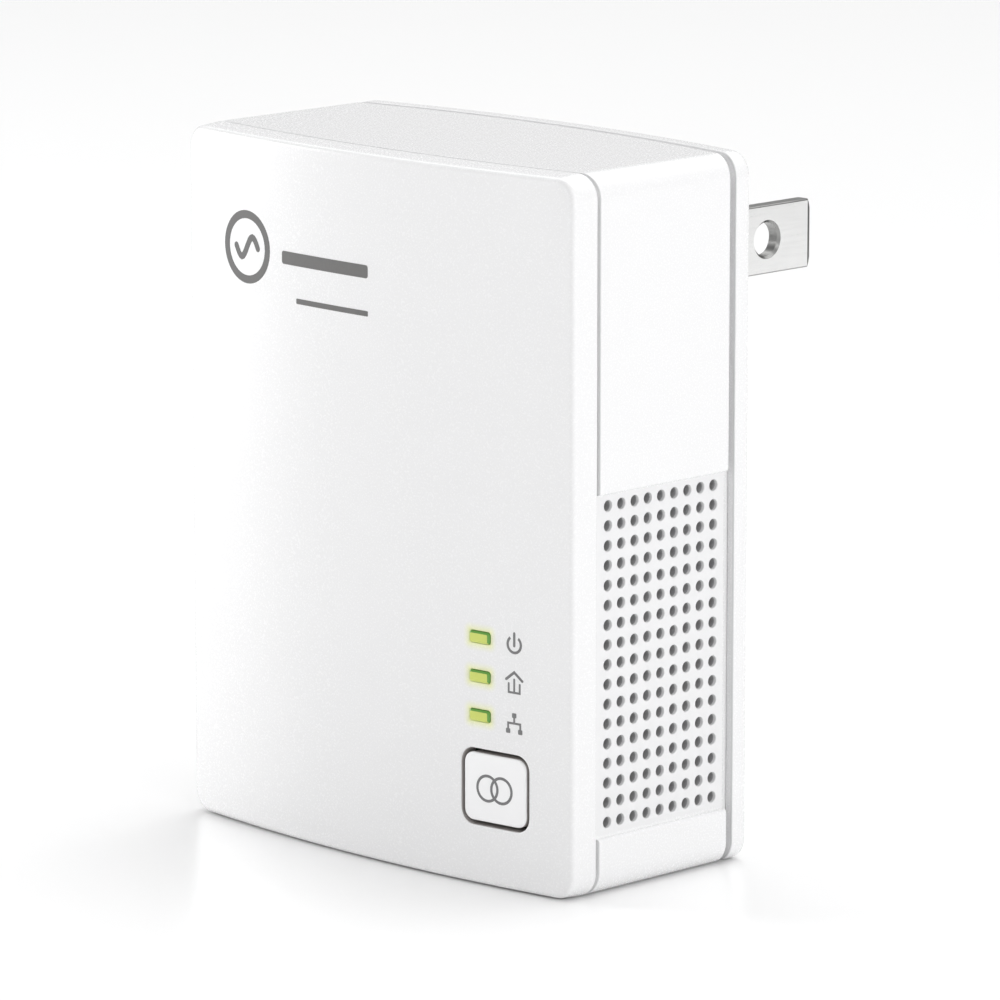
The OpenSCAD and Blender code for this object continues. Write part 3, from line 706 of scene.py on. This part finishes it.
BASE_HALF_W, BASE_HALF_H = 12.5, 9.0
BASE_R = 4.0
BASE_Z = -MID_Z
BASE_CLEAR = 0.05
LABEL_Z = (label_low.z + label_high.z) / 2 - MID_Z
LABEL_HALF_W = (label_high.x - label_low.x) / 2
LABEL_HALF_H = (label_high.z - label_low.z) / 2
LABEL_R = 1.2
LABEL_CLEAR = 0.3
LABEL_DEPTH = 0.2


def build_rear_cover():
    shell = Shell()
    edge_r, seam_r, base_mouth_r, pocket_r = 1.0, 0.2, 0.2, 0.08
    edge_steps = 6
    plain, seam_shade = 0, 1

    rings = [shell.ring(case_outline(i), on_rear(REAR_EDGE, -d)) for i, d in fillet(edge_r, edge_steps)]
    face_rim = rings[0]
    rings += [shell.ring(case_outline(i), on_rear(REAR_SEAM, d)) for i, d in reversed(fillet(seam_r, 3))]
    tongue_end = on_rear(REAR_SEAM, TONGUE_LEN + TONGUE_CLEAR)
    rings.append(shell.ring(case_outline(SKIRT), on_rear(REAR_SEAM)))
    rings.append(shell.ring(case_outline(SKIRT), tongue_end))
    rings.append(shell.ring(case_outline(WALL), tongue_end))
    rings.append(shell.ring(case_outline(WALL), on_rear(REAR_EDGE - FACE_T)))
    foot = edge_steps + 2
    shell.chain(rings[:foot + 1])
    shell.chain(rings[foot + 2:])
    # Part of the rear cover's seam fillet: painted shade in the groove.
    shell.slot = seam_shade
    shell.chain(rings[foot:foot + 3])
    shell.slot = plain

    def base_loop(grow):
        return rounded(BASE_HALF_W + grow, BASE_HALF_H + grow, BASE_R + grow, 0, BASE_Z, flat_steps=16)

    def label_loop(grow):
        return rounded(LABEL_HALF_W + grow, LABEL_HALF_H + grow, LABEL_R + grow, 0, LABEL_Z, flat_steps=24)

    walls = [
        shell.ring(base_loop(BASE_CLEAR + i), on_rear(REAR_EDGE, -d))
        for i, d in fillet(base_mouth_r, 3)
    ]
    walls.append(shell.ring(base_loop(BASE_CLEAR), on_rear(REAR_EDGE - FACE_T)))
    shell.chain(walls)
    pocket = [
        shell.ring(label_loop(LABEL_CLEAR + i), on_rear(REAR_EDGE, -d))
        for i, d in fillet(pocket_r, 2)
    ]
    pocket.append(shell.ring(label_loop(LABEL_CLEAR), on_rear(REAR_EDGE - LABEL_DEPTH)))
    shell.chain(pocket)
    blocks = [
        (0, BASE_Z, BASE_HALF_W + 0.6, BASE_HALF_H + 0.6),
        (0, LABEL_Z, LABEL_HALF_W + 0.7, LABEL_HALF_H + 0.7),
    ]
    inner = case_grid(1.6, FINE_GRID, blocks, clear_corners=True)
    shell.fill(face_rim, [walls[0], pocket[0]], xz, on_rear(REAR_EDGE), inner)
    w, h = LABEL_HALF_W - 0.6, LABEL_HALF_H - 0.6
    inner = grid_points(-w, w, LABEL_Z - h, LABEL_Z + h, 1.15, 3.0, lambda x, z: True)
    shell.fill(pocket[-1], [], xz, on_rear(REAR_EDGE - LABEL_DEPTH), inner)
    inner = case_grid(WALL + 1.0, COARSE_GRID, blocks[:1])
    shell.fill(rings[-1], [walls[-1]], xz, on_rear(REAR_EDGE - FACE_T), inner)
    return shell.piece("rear_shell", [white.mat, seam_painted_shade.mat])


BLADE_T = blade_high.x - blade_low.x
BLADE_HALF_W = (blade_high.z - blade_low.z) / 2
BLADE_LEN = blade_high.y
BLADE_X = (blade_low.x + blade_high.x) / 2
HOLE_R, HOLE_Y = 1.6, 11.9


def build_plug_base():
    shell = Shell()
    peg_len, flange_t, flange_w = 1.7, 1.3, 1.6
    edge_r, slot_r, slot_clear, slot_mouth_r = 0.9, 0.12, 0.02, 0.18
    front = base_low.y + peg_len
    flange_back = front + flange_t

    def loop(grow):
        r = BASE_R + min(grow, 0.0)
        return rounded(BASE_HALF_W + grow, BASE_HALF_H + grow, r, 0, BASE_Z, arc_steps=10, flat_steps=6)

    rings = [shell.ring(loop(-i), on_plane(-d)) for i, d in fillet(edge_r, 6)]
    rings.append(shell.ring(loop(0), on_plane(flange_back)))
    rings.append(shell.ring(loop(flange_w), on_plane(flange_back)))
    rings.append(shell.ring(loop(flange_w), on_plane(front)))
    shell.chain(rings)
    mouths, backs = [], []
    for sign in (-1, 1):
        def slot(grow):
            w, h = BLADE_T / 2 + slot_clear + grow, BLADE_HALF_W + slot_clear + grow
            return rounded(w, h, slot_r + grow, sign * BLADE_X, BASE_Z, arc_steps=3)
        walls = [shell.ring(slot(i), on_plane(-d)) for i, d in fillet(slot_mouth_r, 3)]
        walls.append(shell.ring(slot(0), on_plane(front)))
        shell.chain(walls)
        mouths.append(walls[0])
        backs.append(walls[-1])
    shell.fill(rings[0], mouths, xz, on_plane(0))
    shell.fill(rings[-1], backs, xz, on_plane(front))
    return shell.piece("plug_body", [plug_white.mat])


def build_blade(name, x):
    """One flat blade: rounded long edges, a thinned and clipped tip and a chamfered hole, with painted
    shade: its edges and hole walls dark nickel and its tip near-black.
    """
    shell = Shell()
    edge_r, thin_len, thin = 0.14, 0.75, 0.4
    clip, nose, nose_rise, nose_end = 0.6, 0.25, 0.72, 0.3
    countersink, sink_steps = 0.25, 3
    shank_steps = 12
    face, cut, tip_shade = range(3)
    y0, thin_from = blade_low.y, BLADE_LEN - thin_len

    def half_at(y):
        return BLADE_T / 2 - thin * max(0.0, (y - thin_from) / (BLADE_LEN - thin_from))

    tip = [
        (BLADE_LEN - clip, -BLADE_HALF_W),
        (BLADE_LEN - nose, -BLADE_HALF_W + clip * nose_rise),
        (BLADE_LEN, -BLADE_HALF_W + clip + nose_end),
    ]
    root, thin_start = (y0, -BLADE_HALF_W), (thin_from, -BLADE_HALF_W)
    lower = [root] + along(root, thin_start, shank_steps) + [thin_start] + tip
    outline = lower + [(y, -z) for y, z in reversed(lower)]
    sides = {}
    # Rounded edges and hole walls: painted shade, a dark nickel.
    shell.slot = cut
    for sign in (1, -1):
        sides[sign] = [
            shell.ring(offset_loop(outline, i),
                       lambda u, v, d=d: (x + sign * (half_at(u) - d), u, v + BASE_Z))
            for i, d in fillet(edge_r, 3)
        ]
        shell.chain(sides[sign])
    shell.bridge(sides[1][-1], sides[-1][-1])
    n = len(outline)
    mouths = {}
    for sign in (1, -1):
        sinks = [countersink * k / sink_steps for k in range(sink_steps + 1)]
        walls = [
            shell.ring(circle(HOLE_Y, 0, HOLE_R + countersink - d, 40),
                       lambda u, v, d=d: (x + sign * (BLADE_T / 2 - d), u, v + BASE_Z))
            for d in sinks
        ]
        shell.slot = cut
        shell.chain(walls)
        mouths[sign] = walls[-1]
        rim = sides[sign][0]
        body = rim[:shank_steps + 1] + rim[n - shank_steps - 1:]
        end = rim[shank_steps:n - shank_steps]
        # The thinned tip: painted shade, a near-black nickel.
        shell.slot = tip_shade
        shell.fill(end, [], yz, lambda u, v: (x + sign * half_at(u), u, v))
        shell.slot = face
        shell.fill(body, [walls[0]], yz, lambda u, v: (x + sign * BLADE_T / 2, u, v))
    shell.slot = cut
    shell.bridge(mouths[1], mouths[-1])
    return shell.piece(name, [nickel.mat, blade_edge_painted_shade.mat, tip_painted_shade.mat])


# ---------- button, windows and prints ----------


def build_button():
    shell = Shell()
    edge_r, flange_w, flange_t, margin = 0.2, 0.8, 0.8, 0.8
    flange_y = button_high.y - flange_t - 0.05
    plain, gap_shade = 0, 1

    def loop(inset):
        w, h, r = BUTTON_W / 2 - inset, BUTTON_H / 2 - inset, BUTTON_R - inset
        return rounded(w, h, r, BUTTON_X, BUTTON_Z, arc_steps=8, flat_steps=6)

    rings = [shell.ring(loop(i), on_front(FRONT_EDGE, d)) for i, d in fillet(edge_r, 5)]
    shell.chain(rings)
    skirt = [rings[-1], shell.ring(loop(0), on_plane(flange_y))]
    skirt.append(shell.ring(loop(-flange_w), on_plane(flange_y)))
    skirt.append(shell.ring(loop(-flange_w), on_plane(flange_y + flange_t)))
    # The button's sides and flange: painted shade in the gap round it.
    shell.slot = gap_shade
    shell.chain(skirt)
    shell.fill(skirt[-1], [], xz, on_plane(flange_y + flange_t))
    w, h = BUTTON_W / 2 - margin, BUTTON_H / 2 - margin
    inner = grid_points(BUTTON_X - w, BUTTON_X + w, BUTTON_Z - h, BUTTON_Z + h, 0.9, 1.2, lambda x, z: True)
    shell.slot = plain
    shell.fill(rings[0], [], xz, on_front(FRONT_EDGE), inner)
    return shell.piece("button_cap", [button_white.mat, button_gap_painted_shade.mat])


def build_windows():
    """The light guide's three ends: each a little proud, with painted shade in a darker green on its
    chamfer above and at the right and on its sides in the cover.
    """
    shell = Shell()
    proud, chamfer, root_out, depth = 0.18, 0.17, 0.04, 3.2
    corner_r, least_r = 0.22, 0.08
    core, rim = 0, 1

    for cx, cz in led_centres():
        def loop(inset):
            w, h, r = LED_W / 2 - inset, LED_H / 2 - inset, max(least_r, corner_r - inset)
            return rounded(w, h, r, cx, cz, arc_steps=5, flat_steps=4)
        foot = shell.ring(loop(0), on_front(FRONT_EDGE, depth))
        root = shell.ring(loop(0), on_front(FRONT_EDGE, -root_out))
        top = shell.ring(loop(chamfer), on_front(FRONT_EDGE, -proud))
        shell.slot = rim
        shell.bridge(foot, root)
        for i in range(len(root)):
            j = (i + 1) % len(root)
            middle = (root[i].co + root[j].co) / 2
            above, right = (middle.z - cz) / LED_H > 0.3, (middle.x - cx) / LED_W > 0.45
            # Chamfer faces above and at the right: painted shade.
            shell.slot = rim if above or right else core
            shell.face((root[i], root[j], top[j], top[i]))
        shell.slot = core
        shell.fill(top, [], xz, on_front(FRONT_EDGE, -proud), [(cx + u, cz) for u in (-0.6, 0.0, 0.6)])
        shell.fill(foot, [], xz, on_front(FRONT_EDGE, depth))
    return shell.piece("indicator_windows", [lit_core.mat, lit_rim_painted_shade.mat])


FILM_T, FILM_BURIED = 0.012, 0.01


def print_on(name, shapes, surface, outward, look):
    """A printed film: the union of closed 2D shapes on the line surface(x), thick towards outward."""
    coords, edges = [], []
    for shape in shapes:
        start = len(coords)
        coords += [Vector(p) for p in shape]
        edges += [(start + i, start + (i + 1) % len(shape)) for i in range(len(shape))]
    points, _, tris, _, _, _ = geometry.delaunay_2d_cdt(coords, edges, [], 0, 1e-6)

    def inside(p, shape):
        hit = False
        for i, (ax, az) in enumerate(shape):
            bx, bz = shape[i - 1]
            if (az > p[1]) != (bz > p[1]) and p[0] < (bx - ax) * (p[1] - az) / (bz - az) + ax:
                hit = not hit
        return hit

    shell = Shell()
    top = [shell.bm.verts.new((p[0], surface(p[0]) + outward * FILM_T, p[1])) for p in points]
    low = [shell.bm.verts.new((p[0], surface(p[0]) - outward * FILM_BURIED, p[1])) for p in points]
    middles = [(sum(points[i][0] for i in t) / 3, sum(points[i][1] for i in t) / 3) for t in tris]
    kept = [t for t, middle in zip(tris, middles) if any(inside(middle, shape) for shape in shapes)]
    border = {}
    for t in kept:
        shell.face([top[i] for i in t])
        shell.face([low[i] for i in reversed(t)])
        for i in range(3):
            border[(t[i], t[(i + 1) % 3])] = True
    for i, j in border:
        if (j, i) not in border:
            shell.face((top[j], top[i], low[i], low[j]))
    return shell.piece(name, [look.mat], smooth=20)


def stroke(points, width):
    """The outline of a line with round ends through the points."""
    half = width / 2
    cap_steps = 5
    left, right = [], []
    n = len(points)
    for i in range(n):
        p = Vector(points[i])
        before = (p - Vector(points[i - 1])).normalized() if i else (Vector(points[1]) - p).normalized()
        after = (Vector(points[i + 1]) - p).normalized() if i < n - 1 else before
        across = Vector((-before.y - after.y, before.x + after.x)).normalized()
        reach = half / max(0.4, across.dot(Vector((-before.y, before.x))))
        left.append(tuple(p + across * reach))
        right.append(tuple(p - across * reach))

    def end(centre, towards):
        a = math.degrees(math.atan2(towards.y, towards.x))
        return arc(centre[0], centre[1], half, a + 90, a - 90, cap_steps)[1:-1]

    last = end(points[-1], Vector(points[-1]) - Vector(points[-2]))
    first = end(points[0], Vector(points[0]) - Vector(points[1]))
    return left + last + right[::-1] + first


def ring_shapes(cx, cz, r, width, start=0, sweep=360, steps=36):
    """A ring or part of one, as convex wedges."""
    shapes = []
    for i in range(steps):
        a, b = start + sweep * i / steps, start + sweep * (i + 1) / steps
        outer = arc(cx, cz, r + width / 2, a, b, 1)
        inner = arc(cx, cz, r - width / 2, b, a, 1)
        shapes.append(outer + inner)
    return shapes


def bar(cx, cz, w, h):
    """A solid bar with slightly rounded corners."""
    return rounded(w / 2, h / 2, min(w, h) * 0.2, cx, cz, arc_steps=3, flat_steps=max(1, int(w)))


SIGN_X = 18.35


def power_sign(x, z):
    r, stem_top, stem_foot, width = 0.74, 1.01, -0.12, 0.25
    stem = stroke([(x, z + stem_top), (x, z + stem_foot)], width)
    return ring_shapes(x, z, r, width, 127, 286, 24) + [stem]


def home_sign(x, z):
    eave, half, floor = 0.3, 0.62, -0.85
    roof = [(x - 0.9, z + eave), (x, z + 1.0), (x + 0.9, z + eave)]
    walls = [(x - half, z - 0.05), (x - half, z + floor), (x + half, z + floor), (x + half, z - 0.05)]
    return [stroke(roof, 0.25), stroke(walls, 0.2), stroke([(x, z + 0.35), (x, z - 0.8)], 0.2)]


def network_sign(x, z):
    reach, box_z, line = 0.68, 0.72, 0.2
    shapes = [bar(x + u, z + v, 0.48, 0.44) for u, v in ((0, box_z), (-reach, -box_z), (reach, -box_z))]
    shapes.append(stroke([(x, z + 0.5), (x, z + 0.02)], line))
    fork = [(x - reach, z - 0.6), (x - reach, z), (x + reach, z), (x + reach, z - 0.6)]
    shapes.append(stroke(fork, line))
    return shapes


def on_cover(name, shapes, look):
    return print_on(name, shapes, lambda u: front_y(FRONT_EDGE, u), -1, look)


def build_icons():
    """Power, home and network signs beside the windows."""
    shapes = power_sign(SIGN_X, -9.83) + home_sign(SIGN_X, -13.35) + network_sign(SIGN_X, -17.0)
    return on_cover("indicator_signs", shapes, ink)


def build_link_sign():
    """Two joined rings on the button."""
    apart, r, width = 0.8, 1.15, 0.26
    shapes = []
    for side in (-1, 1):
        shapes += ring_shapes(BUTTON_X + side * apart, BUTTON_Z, r, width)
    return on_cover("button_sign", shapes, ink)


def build_front_mark():
    """A plain emblem, a ring with a wave in it, with a long and a thin rule beside it."""
    cx, cz, r, width = -15.8, 22.0, 3.0, 0.75
    wave_height, wave_half, wave_width = 0.95, 1.6, 0.62
    shapes = ring_shapes(cx, cz, r, width, steps=48)
    crests = [u / 10 for u in range(-16, 17, 2)]
    wave = [(cx + u, cz + wave_height * math.sin(u * math.pi / wave_half)) for u in crests]
    shapes.append(stroke(wave, wave_width))
    shapes.append(bar(-4.9, 21.7, 11.6, 1.2))
    shapes.append(bar(-3.9, 17.9, 9.6, 0.5))
    return on_cover("front_mark", shapes, dark_ink)


def build_label_print():
    """A thin frame and plain rules on the blank label."""
    margin, line, cuts = 1.5, 0.25, 20
    w, h = LABEL_HALF_W - margin, LABEL_HALF_H - margin
    shapes = []
    for side in (-1, 1):
        steps = [(-w + 2 * w * i / cuts, LABEL_Z + side * h) for i in range(cuts + 1)]
        shapes.append(stroke(steps, line))
        shapes.append(stroke([(side * w, LABEL_Z - h), (side * w, LABEL_Z + h)], line))
    for drop in (3.5, 5.5, 7.5):
        shapes.append(bar(-w / 4, LABEL_Z + h - drop, w, 0.6))
    edge = label_high.y - REAR_CROWN
    return print_on("label_print", shapes, lambda u: rear_y(edge, u), 1, ink)


# ---------- build ----------

made = {
    "front_cover": build_front_cover(),
    "housing": build_housing(),
    "rear_cover": build_rear_cover(),
    "plug_base": build_plug_base(),
    "live_blade": build_blade("blade_right", BLADE_X),
    "neutral_blade": build_blade("blade_left", -BLADE_X),
}
for node, piece in made.items():
    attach(piece, "casing")
    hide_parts(node)
cap = build_button()
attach(cap, "button")
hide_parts("pair_button")
windows = build_windows()
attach(windows, "casing")
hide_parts("light_guide")
signs = build_icons()
mark = build_front_mark()
label_print = build_label_print()
for piece in (signs, mark, label_print):
    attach(piece, "casing")
link_sign = build_link_sign()
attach(link_sign, "button")

# Every CAD part gets its record material's colour, as fine-lined metal or as a finely speckled surface.
slots = {m["slot"]: m for m in frame["record"]["materials"]}
by_slot = {}
for part in frame["record"]["subparts"]:
    slot = part["material_slot"]
    if slot not in by_slot:
        colour = tuple(slots[slot]["base_color"][:3])
        kind = slots[slot]["class"]
        if kind in ("brushed_steel", "aluminium", "brass"):
            by_slot[slot] = metal("cad_" + slot, colour, 0.3, (1, 0.1, 1))
        else:
            darker = tuple(c * 0.95 for c in colour)
            by_slot[slot] = speckled("cad_" + slot, colour, darker, 0.45, 3000, 1e-6)
    obj = frame["nodes"][part["node"]]
    obj.data.materials.clear()
    obj.data.materials.append(by_slot[slot].mat)

# ---------- camera, light and floor ----------


STUDIO_CENTRE = Vector((0, -20.6, MID_Z)) * MM


def direction(azimuth, elevation):
    """The unit vector toward azimuth and elevation in degrees; azimuth 0 is in front and 90 is right."""
    a, e = math.radians(azimuth), math.radians(elevation)
    return Vector((math.sin(a) * math.cos(e), -math.cos(a) * math.cos(e), math.sin(e)))


def add_camera(azimuth, elevation, distance, lens, aim):
    back = direction(azimuth, elevation)
    data = bpy.data.cameras.new("camera")
    data.lens = lens
    data.sensor_width = 36
    data.clip_start, data.clip_end = 0.01, 20
    cam = bpy.data.objects.new("camera", data)
    bpy.context.scene.collection.objects.link(cam)
    cam.location = Vector(aim) * MM + back * distance
    cam.rotation_mode = "QUATERNION"
    cam.rotation_quaternion = (-back).to_track_quat("-Z", "Y")
    bpy.context.scene.camera = cam


def add_area(name, azimuth, elevation, distance, size, power):
    towards = direction(azimuth, elevation)
    data = bpy.data.lights.new(name, "AREA")
    data.shape = "RECTANGLE"
    data.size, data.size_y = size
    data.energy = power
    light = bpy.data.objects.new(name, data)
    bpy.context.scene.collection.objects.link(light)
    light.location = STUDIO_CENTRE + towards * distance
    light.rotation_mode = "QUATERNION"
    light.rotation_quaternion = towards.to_track_quat("Z", "Y")


add_camera(45.10, 11.24, 0.6213, 245.4, (3.55, -19.8, MID_Z - 0.66))
add_area("left_panel", -66, 4, 0.8, (0.3, 0.6), 5.85)
add_area("front_panel", -27, 4, 0.8, (0.14, 0.6), 0.5)
add_area("key_panel", 50, 34, 0.8, (0.35, 0.35), 0.45)
add_area("right_panel", 80, 10, 0.8, (0.5, 0.6), 3.4)
add_area("rear_left_panel", -140, 60, 1.5, (1.6, 1.6), 12)
add_area("rear_right_panel", 150, 66, 1.5, (1.6, 1.6), 12)


def add_world(strength):
    """An even white room."""
    world = bpy.data.worlds.new("studio")
    bpy.context.scene.world = world
    world.use_nodes = True
    room = world.node_tree.nodes["Background"]
    room.inputs["Color"].default_value = (1, 1, 1, 1)
    room.inputs["Strength"].default_value = strength


add_world(0.39)
bpy.context.scene.view_settings.view_transform = "Standard"


def add_floor():
    """A wide sheet of pale satin paper under the case."""
    bm = bmesh.new()
    z = (MID_Z - HALF_H) * MM
    half = 3.0
    verts = [bm.verts.new((x * half, y * half, z)) for x, y in ((-1, -1), (1, -1), (1, 1), (-1, 1))]
    bm.faces.new(verts)
    mesh = bpy.data.meshes.new("floor")
    bm.to_mesh(mesh)
    bm.free()
    obj = bpy.data.objects.new("floor", mesh)
    bpy.context.scene.collection.objects.link(obj)
    look = Look("floor_paper", (0.93, 0.93, 0.93), 0.3)
    look.bump(look.noise(400, 3), 1e-5)
    mesh.materials.append(look.mat)


add_floor()
